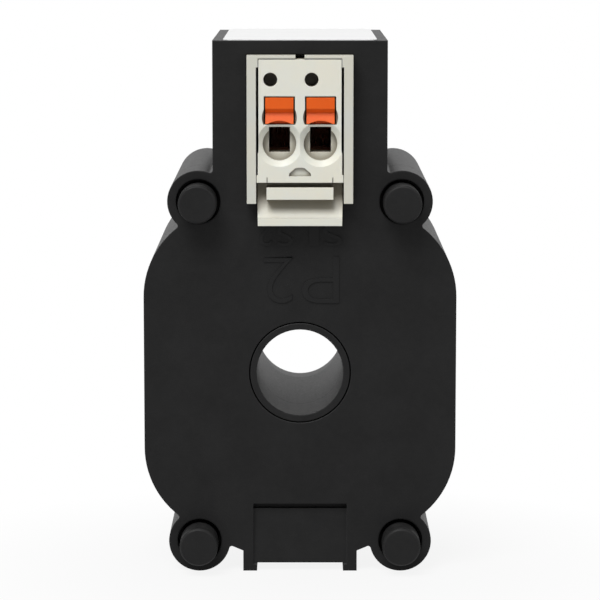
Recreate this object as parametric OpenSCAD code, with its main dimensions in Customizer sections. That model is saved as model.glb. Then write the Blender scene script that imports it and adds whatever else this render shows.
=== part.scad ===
// Window-type current transformer with a two-pole pluggable connector.
// Millimetres. +Z up, +X to the right seen from the connector side, +Y to the back.
// The origin is the centre of the primary window in the plane of the front face.
// All numbers in the modules are clearances or details tied to the named sizes.

/* [Housing] */
// Width of the round-cornered body
body_w = 27; // [26.8:0.1:28]
// Height of the round-cornered body, without tower, posts and base
body_h = 28.4; // [28.2:0.1:28.8]
// Radius of the body's four corners
corner_r = 7.6; // [7.2:0.1:8]
// Depth of the housing from front face to rear face
depth = 25; // [24.6:0.1:28]
// Wall thickness
wall = 1.2; // [1:0.05:1.3]
// Distance of the parting line from the front face
seam_y = 6; // [5.8:0.1:6.1]
// Width of the connector tower
tower_w = 15; // [14.6:0.1:16]
// Height of the tower's top above the window's axis
tower_top = 28.65; // [28.6:0.05:29.4]
// Fillet in the inner corners of the outline
neck_r = 0.25; // [0.1:0.05:0.4]

/* [Primary window] */
// Diameter of the primary window
bore_d = 7.5; // [7:0.1:7.6]
// Radial flare of the window at the rear face
bore_flare = 0.25; // [0.1:0.05:0.4]
// Wall of the window's sleeve where it shows in the front face
sleeve_wall = 0.55; // [0.5:0.01:0.6]
// Gap round the sleeve in the front face
sleeve_gap = 0.12; // [0.08:0.01:0.15]

/* [Corner posts] */
// Diameter of a corner post
post_d = 5.34; // [5.2:0.02:5.5]
// Distance between the post axes across
post_pitch_x = 17.5; // [17.3:0.1:17.8]
// Distance between the post axes up and down
post_pitch_z = 29.7; // [29.6:0.1:30]
// Diameter of a corner peg
peg_d = 3.3; // [3.1:0.05:3.35]
// Length of peg that stands out of the front face
peg_proud = 2.8; // [2:0.1:3.5]
// Depth of the counterbore round a peg
cbore_depth = 2.2; // [1:0.1:3]

/* [Base] */
// Distance from the middle to the inner side of a foot rail
rail_in = 3.75; // [3.5:0.05:3.9]
// Width of a foot rail
rail_w = 1.2; // [1:0.05:1.4]
// Height of the notch between the rails
notch_h = 0.69; // [0.4:0.01:0.9]
// Width of the pocket that takes the mounting foot's catch
pocket_w = 8.14; // [7.8:0.02:8.4]
// Depth of that pocket at its upper end
pocket_depth = 0.5; // [0.3:0.05:0.6]

/* [Connector] */
// Distance between the two poles
pitch = 3.5; // [3.45:0.01:3.52]
// Distance the connector stands out of the front face
conn_proud = 2; // [1.8:0.1:2.2]
// Depth of the header from its front edge to its back
header_len = 18; // [17.8:0.1:18.4]
// Width of the header
header_w = 9.06; // [9:0.02:9.3]
// Height of the header
header_h = 12.6; // [12.5:0.02:12.8]
// Height of the plug's front
plug_h = 10.47; // [10.3:0.01:10.6]
// Width of the plug
plug_w = 7.06; // [7:0.02:7.2]
// Radius of a wire entry
entry_r = 1.43; // [1.35:0.01:1.45]
// Width of the square wire channel
channel_w = 1.79; // [1.6:0.01:1.84]
// Width of a release pusher
pusher_w = 2.4; // [2.2:0.02:2.44]
// Stroke of a release pusher
pusher_stroke = 1; // [0.8:0.05:1]
// Radius of a test hole
test_r = 0.59; // [0.5:0.01:0.64]
// Angle of a clamp spring's leg from the vertical
spring_lean = 30.2; // [29.8:0.1:31]
// Thickness of the clamp spring's strip
spring_t = 0.25; // [0.2:0.01:0.28]

/* [Core and winding] */
// Radial thickness of the core
core_t = 3.6; // [3:0.05:3.8]
// Gap between the coil's wrap and the housing
coil_gap = 0.34; // [0.2:0.02:0.6]
// Free depth in front of the coil and behind it
coil_end = 2.4; // [2.3:0.05:2.6]
// Number of wire ridges round the winding
turns = 66; // [40:1:72]
// Thickness of the winding over the core case
winding_t = 1; // [0.8:0.05:1]

/* [Node] */
// Which node to draw

/* [Hidden] */
$fn = 96;
black = [0.13, 0.13, 0.13];
grey = [0.86, 0.85, 0.8];
orange = [0.94, 0.38, 0.14];
copper = [0.72, 0.42, 0.22];
steel = [0.7, 0.71, 0.73];
eps = 0.01;
// the fillets run this far into the rounds they join
lap = 0.006;
// corner arcs of the body
arc_x = body_w / 2 - corner_r;
arc_z = body_h / 2 - corner_r;
// posts
post_x = post_pitch_x / 2;
post_z = post_pitch_z / 2;
post_r = post_d / 2;
peg_r = peg_d / 2;
shank_r = peg_r - 0.1;
foot_z = -post_z - post_r;
notch_z = foot_z + notch_h;
base_z = foot_z + 2.19;
rail_out = rail_in + rail_w;
// window
bore_r = bore_d / 2;
sleeve_r = bore_r + sleeve_wall;
inner_y = depth - wall;
// connector
front_y = -conn_proud;
back_y = front_y + header_len;
header_wall = 1;
header_roof = 0.25;
plug_gap = 0.08;
header_top = tower_top - wall;
header_bottom = header_top - header_h;
plug_top = header_top - header_roof - plug_gap;
plug_bottom = plug_top - plug_h;
back_wall = 1.5;
plug_back = back_y - back_wall - 0.3;
entry_z = header_top - 7.5;
channel_z = entry_z - 0.75;
push_z0 = entry_z + 1.65;
push_z1 = entry_z + 4.05;
bar_z = channel_z - 0.05;
pin_z = bar_z - 0.55;
room_y0 = front_y + 3.5;
room_y1 = plug_back - 1.2;
coil_y = front_y + 5.4;
coil_z = entry_z + 5.25;
coil_r = 0.85;
axle_y = front_y + 7;
axle_z = plug_bottom - 0.43;
floor_y = front_y + 7.8;
floor_z = header_bottom + header_wall;
poles = [-pitch / 2, pitch / 2];
// core stack
stack_y = depth / 2;
case_t = 0.5;
wrap_t = 0.22;
fit = 0.05;
coil_ro = min(body_w, body_h) / 2 - wall - coil_gap - wrap_t - 0.14;
case_ro = coil_ro - winding_t - fit;
core_ro = case_ro - case_t - fit;
core_ri = core_ro - core_t;
case_ri = core_ri - fit - case_t;
coil_ri = case_ri - fit - winding_t;
coil_h = stack_y - wall - coil_end;
case_h = coil_h - winding_t - fit;
core_len = 2 * (case_h - case_t - fit);
lead_r = 0.35;
lead_z = coil_ri + 4.5;

// ---------- helpers ----------
// flat shape in X and Z, given a depth from y0 to y1
module along_y(y0, y1) {
    translate([0, y1, 0]) rotate([90, 0, 0]) linear_extrude(y1 - y0) children();
}
// flat shape in Y and Z, given a width from x0 to x1
module along_x(x0, x1) {
    translate([x0, 0, 0]) rotate([90, 0, 90]) linear_extrude(x1 - x0) children();
}
module rod(r, y0, y1, x = 0, z = 0) {
    translate([x, y0, z]) rotate([-90, 0, 0]) cylinder(r = r, h = y1 - y0);
}
module cone(r0, r1, y0, y1, x = 0, z = 0) {
    translate([x, y0, z]) rotate([-90, 0, 0]) cylinder(r1 = r0, r2 = r1, h = y1 - y0);
}
module block(x0, x1, y0, y1, z0, z1) {
    translate([x0, y0, z0]) cube([x1 - x0, y1 - y0, z1 - z0]);
}
module tube(ri, ro, y0, y1) {
    difference() {
        rod(ro, y0, y1);
        rod(ri, y0 - 1, y1 + 1);
    }
}
module four_posts() {
    for (sx = [-1, 1], sz = [-1, 1]) translate([sx * post_x, sz * post_z]) children();
}
module round_rect(hx, hz, r) {
    square([2 * hx, 2 * (hz - r)], center = true);
    square([2 * (hx - r), 2 * hz], center = true);
    for (sx = [-1, 1], sz = [-1, 1]) translate([sx * (hx - r), sz * (hz - r)]) circle(r);
}
// fillet between two round outlines, on the side away from the middle
module neck(ax, az, ra, bx, bz, rb) {
    d = norm([bx - ax, bz - az]);
    u = [bx - ax, bz - az] / d;
    a = (pow(ra + neck_r, 2) - pow(rb + neck_r, 2) + d * d) / (2 * d);
    h = sqrt(pow(ra + neck_r, 2) - a * a);
    s = bz > az ? 1 : -1;
    c = [ax + a * u[0] + s * h * u[1], az + a * u[1] - s * h * u[0]];
    difference() {
        polygon([[ax, az], c, [bx, bz]]);
        translate(c) circle(neck_r + lap);
    }
}
// fillet where a tower side runs down on a post
module tower_neck() {
    cx = tower_w / 2 + neck_r;
    cz = post_z + sqrt(pow(post_r + neck_r, 2) - pow(cx - post_x, 2));
    difference() {
        polygon([[tower_w / 2 - 0.5, cz], [cx, cz], [post_x, post_z], [tower_w / 2 - 0.5, post_z]]);
        translate([cx, cz]) circle(neck_r + lap);
    }
}
// fillet where the base's underside runs on a lower post
module base_neck() {
    cz = base_z - neck_r;
    cx = post_x - sqrt(pow(post_r + neck_r, 2) - pow(cz + post_z, 2));
    difference() {
        polygon([[post_x, -post_z], [cx, cz], [cx, base_z + 0.3]]);
        translate([cx, cz]) circle(neck_r + lap);
    }
}

// ---------- outline of the housing, X and Z ----------
module outline() {
    round_rect(body_w / 2, body_h / 2, corner_r);
    translate([-tower_w / 2, 0]) square([tower_w, tower_top]);
    four_posts() circle(post_r);
    polygon([[-rail_out - 1.6, -8], [-rail_out - 1.6, base_z], [-rail_out - 0.95, base_z],
        [-rail_out, base_z - 0.4], [-rail_out, foot_z], [-rail_in, foot_z], [-rail_in, notch_z],
        [rail_in, notch_z], [rail_in, foot_z], [rail_out, foot_z], [rail_out, base_z - 0.4],
        [rail_out + 0.95, base_z], [rail_out + 1.6, base_z], [rail_out + 1.6, -8]]);
    for (sx = [0, 1]) mirror([sx, 0]) {
        neck(arc_x, arc_z, corner_r, post_x, post_z, post_r);
        neck(arc_x, -arc_z, corner_r, post_x, -post_z, post_r);
        tower_neck();
        base_neck();
    }
}
// room inside the walls, m is the wall left standing
module room(m) {
    difference() {
        union() {
            round_rect(body_w / 2 - m, body_h / 2 - m, corner_r - m);
            translate([-tower_w / 2 + m, 0]) square([tower_w - 2 * m, tower_top - m]);
        }
        four_posts() circle(peg_r + 0.85 - (wall - m));
    }
}
// pocket for the mounting foot's catch, cut from the front face inwards
module foot_pocket() {
    along_x(-pocket_w / 2, pocket_w / 2)
        polygon([[-1, foot_z + 5.96], [pocket_depth, foot_z + 5.96],
            [pocket_depth * 0.3, notch_z - 0.1], [-1, notch_z - 0.1]]);
    block(-pocket_w / 2, pocket_w / 2, -1, pocket_depth + 0.5, foot_z + 5.46, foot_z + 5.96);
}
// material behind the pocket's upper groove
module pocket_pad() {
    block(-pocket_w / 2 - 0.4, pocket_w / 2 + 0.4, wall - eps, pocket_depth + 1.1,
        foot_z + 4.3, foot_z + 6.5);
}

// ---------- housing ----------
module front_cover() color(black) difference() {
    union() {
        difference() {
            along_y(0, seam_y) outline();
            along_y(wall, seam_y + 1) room(wall);
        }
        // lip that enters the rear shell
        difference() {
            along_y(seam_y - eps, seam_y + 1.2) room(wall * 0.57);
            along_y(seam_y - 1, seam_y + 2) room(wall);
        }
        intersection() {
            along_y(0, seam_y) room(wall / 2);
            union() {
                // collar round the header
                difference() {
                    block(-header_w / 2 - 0.9, header_w / 2 + 0.9, wall - eps, seam_y,
                        header_bottom - 0.95, tower_top - wall / 2);
                    block(-header_w / 2 - 0.05, header_w / 2 + 0.05, 0, seam_y + 1,
                        header_bottom - 0.05, header_top + 0.02);
                }
                // seat of the coil
                tube(coil_ri + 0.35, coil_ri + 1.55, wall - eps, stack_y - coil_h - 0.05);
                difference() {
                    pocket_pad();
                    rod(coil_ro + 0.3, 0, seam_y);
                }
            }
        }
    }
    // connector opening
    block(-header_w / 2 - 0.05, header_w / 2 + 0.05, -1, wall + 1,
        header_bottom - 0.05, header_top + 0.02);
    // hole of the window's sleeve
    rod(sleeve_r + sleeve_gap, -1, wall + 0.1);
    rod(sleeve_r + 0.25, wall, seam_y + 2);
    // peg bores and their counterbores
    for (sx = [-1, 1], sz = [-1, 1]) {
        rod(shank_r + 0.02, -1, seam_y + 2, sx * post_x, sz * post_z);
        rod(peg_r + 0.27, -1, cbore_depth, sx * post_x, sz * post_z);
    }
    foot_pocket();
}

module rear_shell() color(black) difference() {
    union() {
        difference() {
            along_y(seam_y, depth) outline();
            along_y(seam_y - 1, inner_y) room(wall);
            // rebate for the cover's lip
            along_y(seam_y - 1, seam_y + 1.25) room(wall * 0.54);
        }
        // sleeve of the primary window
        rod(sleeve_r + 0.2, wall + 0.15, inner_y + eps);
        rod(sleeve_r, 0, wall + 0.2);
        // seat of the coil
        tube(coil_ri + 0.35, coil_ri + 1.55, stack_y + coil_h + 0.05, inner_y + eps);
        // ribs that back the header
        for (sx = [0, 1]) mirror([sx, 0, 0])
            block(header_w / 2 - 0.7, header_w / 2, back_y + 0.05, inner_y + eps,
                header_bottom + 0.3, tower_top - wall + eps);
        translate([0, depth, 0]) mirror([0, 1, 0]) difference() {
            pocket_pad();
            rod(coil_ro + 0.3, 0, seam_y);
        }
    }
    rod(bore_r, -1, depth + 1);
    cone(bore_r, bore_r + bore_flare, depth - 4, depth + eps);
    // peg holes from the front and stacking sockets from the rear
    for (sx = [-1, 1], sz = [-1, 1]) {
        rod(shank_r + 0.02, seam_y - 1, seam_y + 11, sx * post_x, sz * post_z);
        rod(peg_r + 0.1, depth - peg_proud - 0.6, depth + 1, sx * post_x, sz * post_z);
    }
    translate([0, depth, 0]) mirror([0, 1, 0]) foot_pocket();
}

module corner_pegs() color(black)
    for (sx = [-1, 1], sz = [-1, 1]) {
        cone(peg_r - 0.15, peg_r, -peg_proud, -peg_proud + 0.15, sx * post_x, sz * post_z);
        rod(peg_r, -peg_proud + 0.15, -0.15, sx * post_x, sz * post_z);
        rod(shank_r, -0.15, seam_y + 10.5, sx * post_x, sz * post_z);
        cone(shank_r, shank_r - 0.3, seam_y + 10.5, seam_y + 10.8, sx * post_x, sz * post_z);
    }

module rating_label() color([0.97, 0.97, 0.97])
    block(-tower_w / 2 + 0.9, tower_w / 2 - 0.9, 0.1, depth - 0.1, tower_top, tower_top + 0.08);

// ---------- core and winding ----------
module core() color(steel) difference() {
    tube(core_ri, core_ro, stack_y - core_len / 2, stack_y + core_len / 2);
    // ends of the wound tape
    for (k = [1:4], e = [-1, 1]) translate([0, stack_y + e * core_len / 2, 0])
        tube(core_ri + k * (core_ro - core_ri) / 5, core_ri + k * (core_ro - core_ri) / 5 + 0.08,
            -0.06, 0.06);
}
module case_half() {
    difference() {
        tube(case_ri, case_ro, -case_h, 1);
        tube(case_ri + case_t, case_ro - case_t, -case_h + case_t, 2);
    }
}
module core_case_front() color([0.2, 0.3, 0.55]) translate([0, stack_y, 0]) difference() {
    case_half();
    rod(case_ro - case_t / 2, 0, 2);
}
module core_case_rear() color([0.2, 0.3, 0.55]) translate([0, stack_y, 0]) mirror([0, 1, 0])
    difference() {
        case_half();
        tube(case_ro - case_t / 2 - 0.02, case_ro + 1, -1.02, 2);
        rod(case_ro + 1, 0, 2);
    }
module secondary_winding() color(copper) translate([0, stack_y, 0]) difference() {
    union() {
        along_y(-coil_h + 0.4, coil_h - 0.4) {
            circle(coil_ro - 0.3);
            for (i = [0:turns - 1]) rotate(i * 360 / turns)
                translate([coil_ro - 0.35, 0]) circle(0.45, $fn = 24);
        }
        rod(coil_ro - 0.4, -coil_h, coil_h);
    }
    rod(coil_ri, -coil_h - 1, coil_h + 1);
    tube(case_ri - 0.05, case_ro + 0.05, -case_h - 0.05, case_h + 0.05);
}
module winding_wrap() color([0.85, 0.75, 0.3])
    tube(coil_ro + 0.14, coil_ro + 0.14 + wrap_t, stack_y - coil_h + 2, stack_y + coil_h - 2);

module lead(x) {
    rear = stack_y + coil_h;
    run_y = rear + 0.8;
    rod(lead_r, rear, run_y, x, lead_z);
    translate([x, run_y, lead_z]) sphere(lead_r);
    translate([x, run_y, lead_z]) cylinder(r = lead_r, h = pin_z - lead_z);
    translate([x, run_y, pin_z]) sphere(lead_r);
    rod(lead_r, back_y + 4, run_y, x, pin_z);
    // sleeve over the pin's tail
    difference() {
        rod(0.75, back_y + 1.4, back_y + 4.2, x, pin_z);
        block(x - 0.42, x + 0.42, back_y, back_y + 3.05, pin_z - 0.42, pin_z + 0.42);
    }
}
module lead_s1() color([0.75, 0.12, 0.1]) lead(poles[0]);
module lead_s2() color([0.12, 0.2, 0.6]) lead(poles[1]);

// ---------- header ----------
module header_housing() color(grey) difference() {
    union() {
        block(-header_w / 2, header_w / 2, front_y, back_y, header_bottom, header_top);
        // catches behind the cover's collar
        for (sx = [0, 1]) mirror([sx, 0, 0])
            along_x(header_w / 2 - eps, header_w / 2 + 0.7)
                polygon([[seam_y + 0.05, entry_z - 1], [seam_y + 1.4, entry_z - 1],
                    [seam_y + 1.4, entry_z + 3], [seam_y + 0.05, entry_z + 3]]);
    }
    // room for the plug: wide below, close fitting at the top
    block(-plug_w / 2 - 0.21, plug_w / 2 + 0.21, front_y - 1, back_y - back_wall,
        floor_z, header_top - header_wall);
    block(-plug_w / 2 - 0.05, plug_w / 2 + 0.05, front_y - 1, back_y - back_wall,
        floor_z, header_top - header_roof);
    // open front for the locking lever
    block(-plug_w / 2 - 0.21, plug_w / 2 + 0.21, front_y - 1, floor_y,
        header_bottom - 1, floor_z + 1);
    // slot in the floor for the lever's hook
    block(-2.4, 2.4, floor_y - 1, axle_y + 5, header_bottom - 1, floor_z + 1);
    // key notch in the top edge
    block(-0.39, 0.39, front_y - 1, front_y + 4, header_top - 1, header_top + 1);
    for (x = poles) block(x - 0.4, x + 0.4, back_y - 2, back_y + 1, pin_z - 0.4, pin_z + 0.4);
}
module header_pin(x) translate([x, 0, pin_z]) {
    block(-0.4, 0.4, back_y - 6, back_y + 3, -0.4, 0.4);
    translate([0, back_y - 6, 0]) rotate([90, 45, 0])
        cylinder(r1 = 0.4 * sqrt(2), r2 = 0.15 * sqrt(2), h = 0.35, $fn = 4);
}
module header_pin_s1() color(steel) header_pin(poles[0]);
module header_pin_s2() color(steel) header_pin(poles[1]);

// ---------- plug ----------
module plug_body() color(grey) difference() {
    union() {
        block(-plug_w / 2, plug_w / 2, front_y, plug_back, plug_bottom, plug_top);
        // slightly wider lower half
        block(-plug_w / 2 - 0.06, plug_w / 2 + 0.06, front_y, front_y + 6,
            plug_bottom, entry_z - 0.75);
        // foot of the front face, nearly touching the header
        block(-plug_w / 2 - 0.17, plug_w / 2 + 0.17, front_y, front_y + 3,
            plug_bottom, plug_bottom + 0.65);
        // cheeks that hold the lever's axle
        for (sx = [0, 1]) mirror([sx, 0, 0])
            block(2.8, plug_w / 2 + 0.07, axle_y - 1.1, axle_y + 0.7,
                axle_z - 0.6, plug_bottom + eps);
    }
    for (x = poles) translate([x, 0, 0]) {
        // wire entry: cone, round recess, square channel
        cone(entry_r + 0.52, entry_r, front_y - eps, front_y + 0.4, 0, entry_z);
        rod(entry_r, front_y, front_y + 1.1, 0, entry_z);
        block(-channel_w / 2, channel_w / 2, front_y, room_y0 + 1, channel_z, channel_z + 2.2);
        // pusher window and its round relief
        block(-pusher_w / 2 - 0.12, pusher_w / 2 + 0.12, front_y - 1,
            room_y0 + pusher_stroke + 0.3, push_z0, push_z1);
        along_y(front_y - 1, front_y + 0.6) intersection() {
            translate([0, push_z0 + 0.6]) circle(pusher_w / 2 + 0.28);
            translate([-2, push_z0]) square([4, 2]);
        }
        // test hole
        rod(test_r, front_y - 1, room_y0 - 0.2, -0.77, push_z1 + 1.42);
        // contact room with a raised floor in front
        block(-1.15, 1.15, room_y0, room_y1 + 0.1, bar_z - 0.4, coil_z + 1);
        block(-1.15, 1.15, room_y0 + 7, room_y1 + 0.1, pin_z - 0.7, coil_z + 1);
    }
    // rebate of the rear cap
    block(-plug_w / 2 + 0.35, plug_w / 2 - 0.35, room_y1, plug_back + 1,
        pin_z - 0.9, plug_top - 0.5);
    // mark between the poles
    along_y(front_y - 1, front_y + 0.25)
        polygon([[-0.94, plug_bottom + 0.55], [0.94, plug_bottom + 0.55], [0.9, plug_bottom + 0.8],
            [0.42, plug_bottom + 1.22], [0.2, plug_bottom + 1.28], [-0.2, plug_bottom + 1.28],
            [-0.42, plug_bottom + 1.22], [-0.9, plug_bottom + 0.8]]);
    // hairlines beside the middle of the foot
    for (x = [-2.8, 2.8]) block(x - 0.03, x + 0.03, front_y - 1, front_y + 0.6,
        plug_bottom - 1, plug_bottom + 0.45);
    // free space over the lever's arm
    block(-2.8, 2.8, axle_y + 0.6, axle_y + 5.4, plug_bottom - 1, plug_bottom + 0.7);
    // bearing of the lever's axle
    translate([-5, axle_y, axle_z]) rotate([0, 90, 0]) cylinder(r = 0.33, h = 10);
    // shallow groove on the underside that clears the lever's boss
    block(-2.8, 2.8, axle_y - 0.5, axle_y + 0.7, plug_bottom - 1, plug_bottom + 0.12);
}
// loops inside the plug that carry the springs belong to the rear cap's moulding
module plug_rear_cap() color(grey) {
    difference() {
        block(-plug_w / 2 + 0.38, plug_w / 2 - 0.38, room_y1, plug_back,
            pin_z - 0.87, plug_top - 0.53);
        for (x = poles) block(x - 0.5, x + 0.5, room_y1 - 1, plug_back + 1,
            pin_z - 0.5, pin_z + 0.5);
    }
    // arm with the round boss that each clamp spring hooks on
    for (x = poles) {
        block(x - 1.1, x - 0.85, coil_y, room_y1 + eps, coil_z - 0.4, coil_z + 0.4);
        translate([x - 1.1, coil_y, coil_z]) rotate([0, 90, 0])
            cylinder(r = coil_r - spring_t - 0.05, h = 2.2);
    }
}

module pusher(x) translate([x, 0, 0]) {
    difference() {
        along_x(-pusher_w / 2, pusher_w / 2)
            polygon([[front_y, push_z1 - 0.1], [front_y, push_z0 + 1.35], [front_y + 0.45, push_z0 + 1],
                [front_y + 0.05, push_z0 + 0.06], [room_y0 + 0.1, push_z0 + 0.06],
                [room_y0 + 0.1, push_z1 - 0.1]]);
        // arc that follows the wire entry
        rod(entry_r + 0.54, front_y - 1, front_y + 0.6, 0, entry_z);
    }
    // shoulder that keeps it in, and the tip that presses the spring
    block(-1.05, 1.05, room_y0 + 0.08, room_y0 + 0.6, push_z0 - 0.2, push_z1 + 0.12);
    block(-0.8, 0.8, room_y0 + 0.5, coil_y + 0.55, push_z0 + 0.15, push_z0 + 0.8);
}
module pusher_s1() color(orange) pusher(poles[0]);
module pusher_s2() color(orange) pusher(poles[1]);

module clamp_spring(x) {
    len = (coil_z - coil_r * sin(spring_lean) - bar_z - 0.05) / cos(spring_lean);
    along_x(x - 0.8, x + 0.8) translate([coil_y, coil_z]) rotate(spring_lean) {
        // bend round the boss
        difference() {
            circle(coil_r);
            circle(coil_r - spring_t);
            polygon([[0, 0], [-2, 0], [-2, -2], [2, -2], [2, 0]]);
        }
        // clamping leg and short tail
        translate([-coil_r, -len]) square([spring_t, len + eps]);
        translate([coil_r - spring_t, -0.6]) square([spring_t, 0.6 + eps]);
    }
}
module clamp_spring_s1() color(steel) clamp_spring(poles[0]);
module clamp_spring_s2() color(steel) clamp_spring(poles[1]);

module contact(x) translate([x, 0, 0]) {
    block(-1, 1, room_y0 + 0.1, room_y0 + 7.8, bar_z - 0.4, bar_z);
    block(-0.72, 0.72, room_y0 + 7.1, room_y0 + 7.8, pin_z - 0.6, bar_z);
    for (s = [0, 1]) mirror([s, 0, 0])
        block(0.41, 0.72, room_y0 + 7.7, room_y1 - 0.1, pin_z - 0.6, bar_z);
}
module contact_s1() color(copper) contact(poles[0]);
module contact_s2() color(copper) contact(poles[1]);

// ---------- locking lever ----------
module locking_lever() color(grey) {
    lip_z = header_bottom - 1.9;
    plate_w = plug_w / 2 + 0.12;
    top_z = plug_bottom - 0.15;
    // finger plate with its scoop
    intersection() {
        along_x(-plate_w, plate_w) difference() {
            polygon([[front_y, lip_z], [front_y + 1.2, lip_z], [front_y + 1.65, header_bottom + 0.05],
                [front_y + 1.65, header_bottom + 0.65], [front_y + 2.3, header_bottom + 0.65],
                [front_y + 2.6, floor_z + 0.1], [front_y + 2.6, top_z], [front_y, top_z]]);
            intersection() {
                translate([front_y - 3.6, header_bottom + 2.35]) circle(5.3);
                translate([front_y - 1, lip_z + 0.65]) square([6, 6]);
            }
        }
        along_y(front_y - 1, front_y + 4)
            polygon([[-plate_w, top_z + 1], [plate_w, top_z + 1], [plate_w, header_bottom],
                [plate_w - 0.09, lip_z - 1], [-plate_w + 0.09, lip_z - 1],
                [-plate_w, header_bottom]]);
    }
    // finger ledge
    block(-2.85, 2.85, front_y - 0.05, front_y + 1.75, header_bottom + 0.35, header_bottom + 1.4);
    // arm with the hook behind
    block(-2.7, 2.7, front_y + 2.5, axle_y + 5, floor_z + 0.1, top_z);
    along_x(-2.3, 2.3)
        polygon([[axle_y + 3.2, top_z - 0.1], [axle_y + 3.2, floor_z - 0.4],
            [axle_y + 3.6, floor_z - 0.4], [axle_y + 4.5, floor_z + 0.1], [axle_y + 4.5, top_z - 0.1]]);
    // boss and axle
    translate([-2.7, axle_y, axle_z]) rotate([0, 90, 0]) cylinder(r = 0.4, h = 5.4);
    translate([-3.3, axle_y, axle_z]) rotate([0, 90, 0]) cylinder(r = 0.28, h = 6.6);
}

front_cover();
rear_shell();
corner_pegs();
rating_label();
core();
core_case_front();
core_case_rear();
secondary_winding();
winding_wrap();
lead_s1();
lead_s2();
header_housing();
header_pin_s1();
header_pin_s2();
plug_body();
plug_rear_cap();
pusher_s1();
pusher_s2();
clamp_spring_s1();
clamp_spring_s2();
contact_s1();
contact_s2();
locking_lever();
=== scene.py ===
"""Finish of a window-type current transformer with a pluggable two-pole connector.

Laid out as an add-on: property groups for the sizes and colours, one operator for each
piece or group of like pieces, one panel that lists them, and a main function that runs them.
"""
import math

import bmesh
import bpy
from bpy.props import FloatProperty, FloatVectorProperty, PointerProperty
from mathutils import Matrix, Vector


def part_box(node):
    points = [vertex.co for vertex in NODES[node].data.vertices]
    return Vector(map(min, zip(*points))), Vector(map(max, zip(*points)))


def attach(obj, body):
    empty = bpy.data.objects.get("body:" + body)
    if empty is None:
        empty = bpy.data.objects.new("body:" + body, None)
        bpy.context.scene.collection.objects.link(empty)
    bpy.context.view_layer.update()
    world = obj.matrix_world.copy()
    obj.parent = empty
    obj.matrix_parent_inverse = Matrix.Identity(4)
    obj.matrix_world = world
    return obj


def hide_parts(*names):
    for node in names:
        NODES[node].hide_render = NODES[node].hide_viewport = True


bl_info = {
    "name": "Window-type current transformer",
    "version": (1, 0, 0),
    "blender": (4, 5, 0),
    "location": "3D View > Sidebar > Transformer",
    "description": "Builds and finishes a current transformer with its connector and stage",
    "category": "Object",
}

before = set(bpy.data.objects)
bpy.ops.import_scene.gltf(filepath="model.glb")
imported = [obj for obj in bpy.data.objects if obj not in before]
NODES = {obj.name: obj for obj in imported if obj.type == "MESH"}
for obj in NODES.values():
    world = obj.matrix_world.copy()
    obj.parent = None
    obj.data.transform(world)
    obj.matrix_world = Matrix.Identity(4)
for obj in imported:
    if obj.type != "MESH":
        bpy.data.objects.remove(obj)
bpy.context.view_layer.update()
MM = 0.001


# ---------------------------------------------------------------- places from the frame

def low(node):
    """Lowest corner of a CAD node."""
    return Vector(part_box(node)[0])


def high(node):
    """Highest corner of a CAD node."""
    return Vector(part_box(node)[1])


FRONT_FACE_Y = low("front_cover").y
COLLAR_DEPTH = 1.2 * MM
SEAM_Y = high("front_cover").y - COLLAR_DEPTH
FLOOR_Z = low("front_cover").z

# half width of the parting line's groove, and where its edge ends
GROOVE_HALF_WIDTH = 0.05 * MM
GROOVE_EDGE = 0.09 * MM
# the header is given a slightly darker grey than the plug
HEADER_TONE = 0.82
PLUG_TONE = 1.0
# thickness of the core's strip, as its rings show it
STRIP_PITCH = 0.3 * MM
# wire lines drawn round the winding
WIRE_LINES = 132.0

# gaps above the two rows of terminal marks
TERMINAL_MARK_GAP = 0.12 * MM
SIDE_MARK_GAP = 0.95 * MM
# outline taken off the large mark, which has thinner strokes
SIDE_MARK_THINNING = -0.018
# name, glyph, left and right in millimetres
TERMINAL_MARKS = (
    ("mark_s1", "S", 1.94, 3.65),
    ("mark_s1_digit", "1", 0.78, 1.64),
    ("mark_s2", "S", -2.00, -0.60),
    ("mark_s2_digit", "2", -3.61, -2.40),
)
SIDE_MARKS = (
    ("mark_side", "P", 0.15, 3.37),
    ("mark_side_digit", "2", -3.12, -0.58),
)

FLOOR_HALF_WIDTH = 1.6
# the floor turns fully white between these distances from the object's middle
WHITE_FLOOR_START = 0.015
WHITE_FLOOR_END = 0.042
WHITE_SHARE_AT_OBJECT = 0.86
# name, place, aim, side and power of each lamp
LAMPS = (
    ("key_lamp", (-0.13, -0.33, 0.49), (0.0, 0.0, 0.0), 0.32, 3.15),
    ("overhead_lamp", (0.0, 0.06, 0.50), (0.0, 0.01, 0.0), 0.40, 0.15),
)
CAMERA_PLACE = (0.0, -0.24382, 0.03850)
CAMERA_SHIFT_Y = -0.0072
SENSOR_WIDTH = 36.0


# ---------------------------------------------------------------- settings

class TransformerHousingSettings(bpy.types.PropertyGroup):
    """Colours and surface of the moulded housing and its label."""
    shell_colour: FloatVectorProperty(
        name="Shell colour", description="Dyed colour of the housing's plastic",
        subtype="COLOR", size=3, min=0, max=1, default=(0.0125, 0.0125, 0.0127))
    grain_size: FloatProperty(
        name="Grain size", description="Size of the spark-eroded grain of the mould",
        unit="LENGTH", default=0.16 * MM, min=0.02 * MM, max=2 * MM)
    edge_radius: FloatProperty(
        name="Edge radius", description="Rounding of the moulded edges",
        unit="LENGTH", default=0.16 * MM, min=0, max=1 * MM)
    label_colour: FloatVectorProperty(
        name="Label colour", description="Colour of the blank label",
        subtype="COLOR", size=3, min=0, max=1, default=(0.90, 0.90, 0.90))
    label_corner: FloatProperty(
        name="Label corner", description="Corner radius of the label",
        unit="LENGTH", default=0.7 * MM, min=0.1 * MM, max=3 * MM)


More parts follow.
